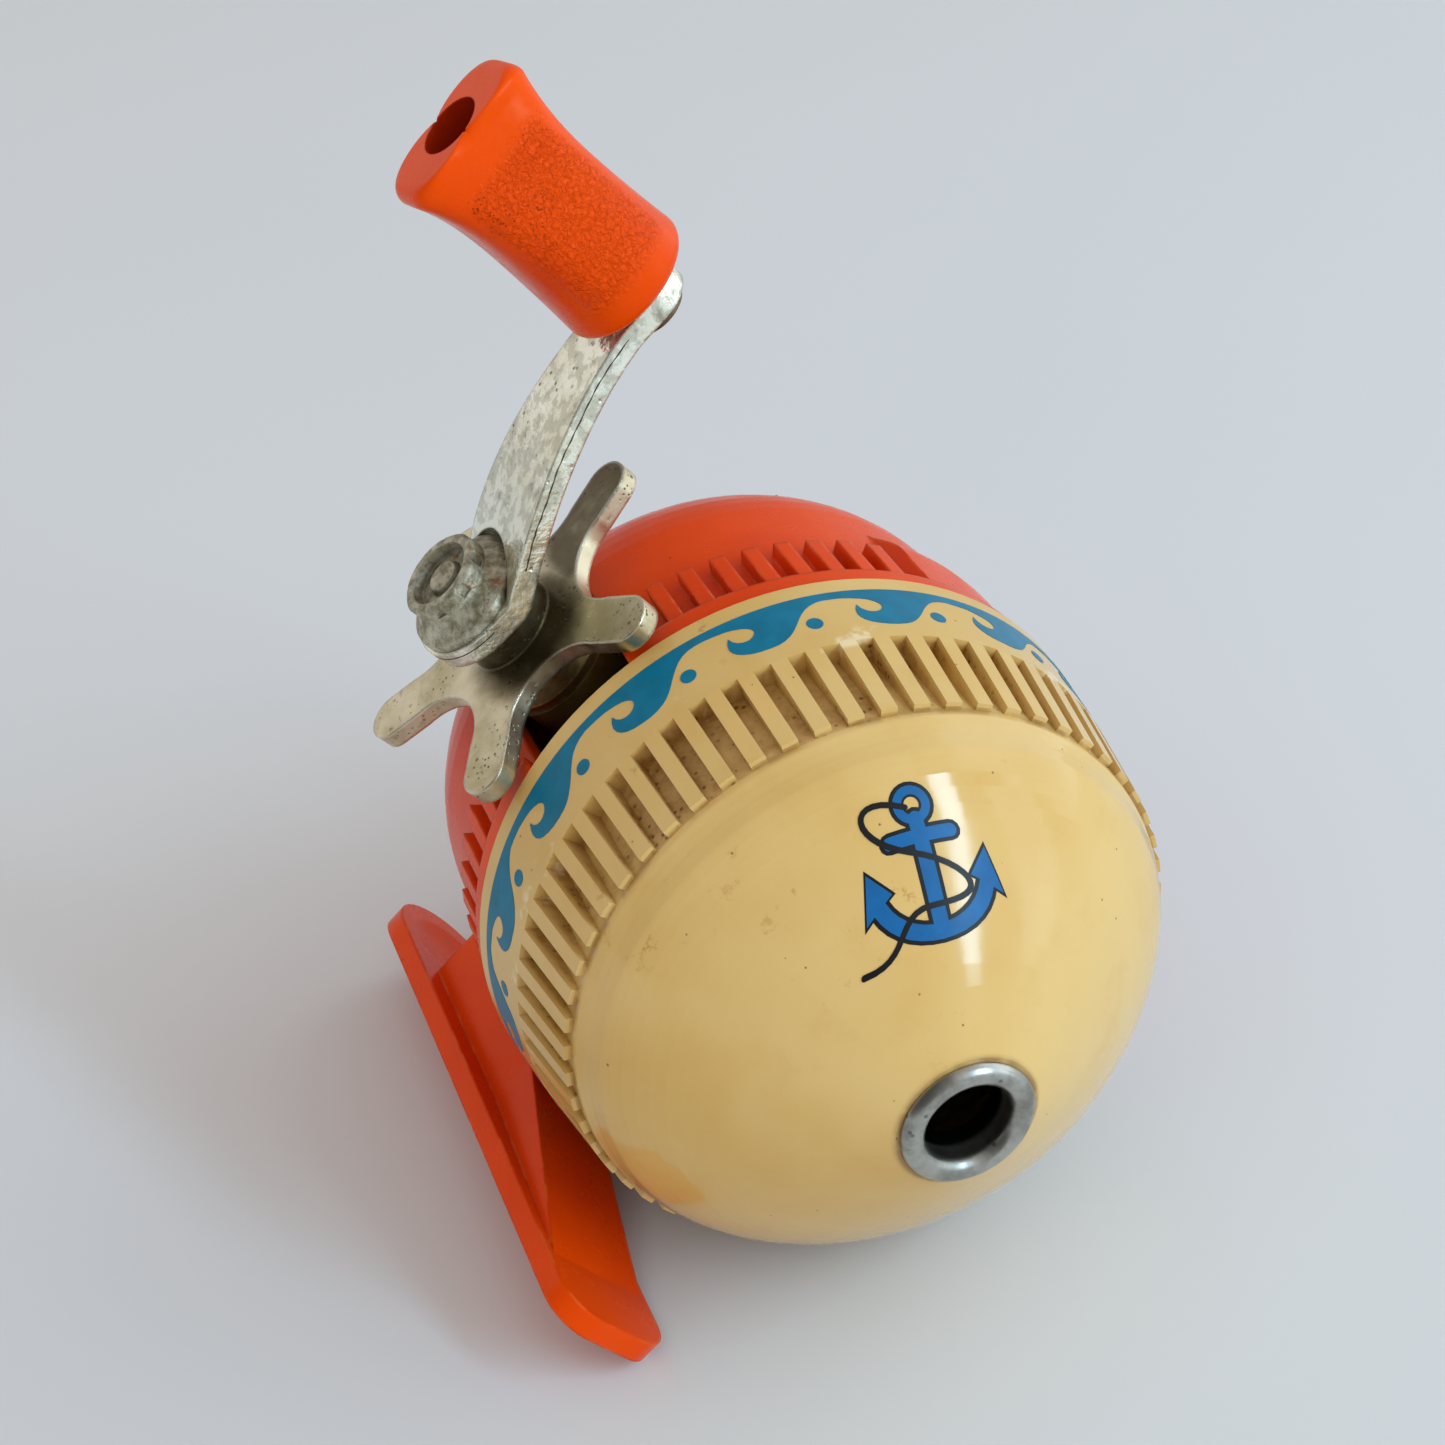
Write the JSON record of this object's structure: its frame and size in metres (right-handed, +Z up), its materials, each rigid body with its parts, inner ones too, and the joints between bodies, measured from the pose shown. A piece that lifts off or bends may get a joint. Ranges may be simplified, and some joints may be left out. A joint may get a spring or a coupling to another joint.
{
  "type": "spincast fishing reel",
  "caption": "Closed-face spincast fishing reel with a ribbed cover, line guide, star drag, bent crank with knob and a rod foot; lies on its side.",
  "frame": {"origin": "centre of the line guide's mouth, on the reel's main axis", "axes": "-Y out of the line guide, away from the rod's butt; +Z up from the table that the reel lies on; the crank shaft points up and towards -X, the foot down and towards -X"},
  "size_m": [0.0659, 0.08, 0.1073],
  "materials": {
    "cream_plastic": "glossy, slightly yellowed, dirt in the grooves",
    "orange_plastic": "glossy moulded plastic, light scuffs",
    "knob_orange": "leather-grained middle, smooth ends",
    "guide_steel": "satin",
    "star_nickel": "worn nickel-coloured plating with dark pits",
    "arm_metal": "bright hammered plating, pitted",
    "nut_metal": "dull grey cast metal with specks of rust",
    "rivet_steel": "dull, a little rusty",
    "shaft_steel": "ground",
    "spring_steel": "drawn wire",
    "gear_brass": "machined",
    "fibre": "pressed fibre",
    "spool_plastic": "moulded",
    "line_nylon": "clear nylon line, wound",
    "spinner_aluminium": "spun"
  },
  "bodies": {
    "housing": {"rear_housing": "orange_plastic", "deck_plate": "cream_plastic", "deck_screws": "shaft_steel", "spool": "spool_plastic", "line_winding": "line_nylon", "spool_clip": "spring_steel", "pawl_pivot": "shaft_steel", "crank_bushing": "gear_brass"},
    "cover": {"front_cover": "cream_plastic", "line_guide": "guide_steel"},
    "button": {"thumb_button": "orange_plastic"},
    "crank": {"crank_shaft": "shaft_steel", "drive_gear": "gear_brass", "fibre_washer": "fibre", "drag_plate": "shaft_steel", "ratchet_wheel": "shaft_steel", "drag_sleeve": "shaft_steel", "spring_washer": "spring_steel", "crank_arm": "arm_metal", "cap_nut": "nut_metal", "knob_rivet": "rivet_steel"},
    "star": {"star_wheel": "star_nickel"},
    "knob": {"knob": "knob_orange"},
    "pinion": {"pinion_gear": "gear_brass", "return_spring": "spring_steel"},
    "spinner": {"centre_shaft": "shaft_steel", "spring_collar": "shaft_steel", "spinner_head": "spinner_aluminium", "shaft_clip": "spring_steel"},
    "pin": {"pickup_pin": "shaft_steel", "pin_spring": "spring_steel"},
    "pawl": {"pawl": "shaft_steel"}
  },
  "joints": [
    {"name": "crank_turn", "type": "hinge", "parent": "housing", "child": "crank", "pos_m": [-0.02072, 0.0519, 0.02306], "axis": [-0.6684, 0, 0.7438], "continuous": true},
    {"name": "star_drag", "type": "hinge", "parent": "crank", "child": "star", "pos_m": [-0.02139, 0.0519, 0.0238], "axis": [-0.6684, 0, 0.7438], "range_deg": [0, 240]},
    {"name": "knob_spin", "type": "hinge", "parent": "crank", "child": "knob", "pos_m": [-0.01623, 0.0519, 0.06339], "axis": [-0.6684, 0, 0.7438], "continuous": true},
    {"name": "pinion_spin", "type": "hinge", "parent": "housing", "child": "pinion", "pos_m": [0, 0.0421, 0], "axis": [0, -1, 0], "continuous": true},
    {"name": "button_push", "type": "slide", "parent": "housing", "child": "button", "axis": [0, -1, 0], "range_m": [0, 0.0045], "stiffness_N_per_m": 250, "springref_m": -0.006},
    {"name": "shaft_push", "type": "slide", "parent": "pinion", "child": "spinner", "axis": [0, -1, 0], "range_m": [0, 0.0045]},
    {"name": "pin_retract", "type": "slide", "parent": "spinner", "child": "pin", "axis": [0, 0, -1], "range_m": [0, 0.0012], "deforming": ["pin_spring"]},
    {"name": "pawl_swing", "type": "hinge", "parent": "housing", "child": "pawl", "pos_m": [0.00118, 0.0593, 0.01155], "axis": [-0.6684, 0, 0.7438], "range_deg": [-6, 10]},
    {"name": "cover_pull", "type": "slide", "parent": "housing", "child": "cover", "axis": [0, -1, 0], "range_m": [0, 0.045]}
  ],
  "couplings": [
    {"joint": "pinion_spin", "follows": "crank_turn", "ratio": -2.6667},
    {"joint": "shaft_push", "follows": "button_push", "ratio": 1},
    {"joint": "pin_retract", "follows": "button_push", "ratio": 0.25}
  ]
}
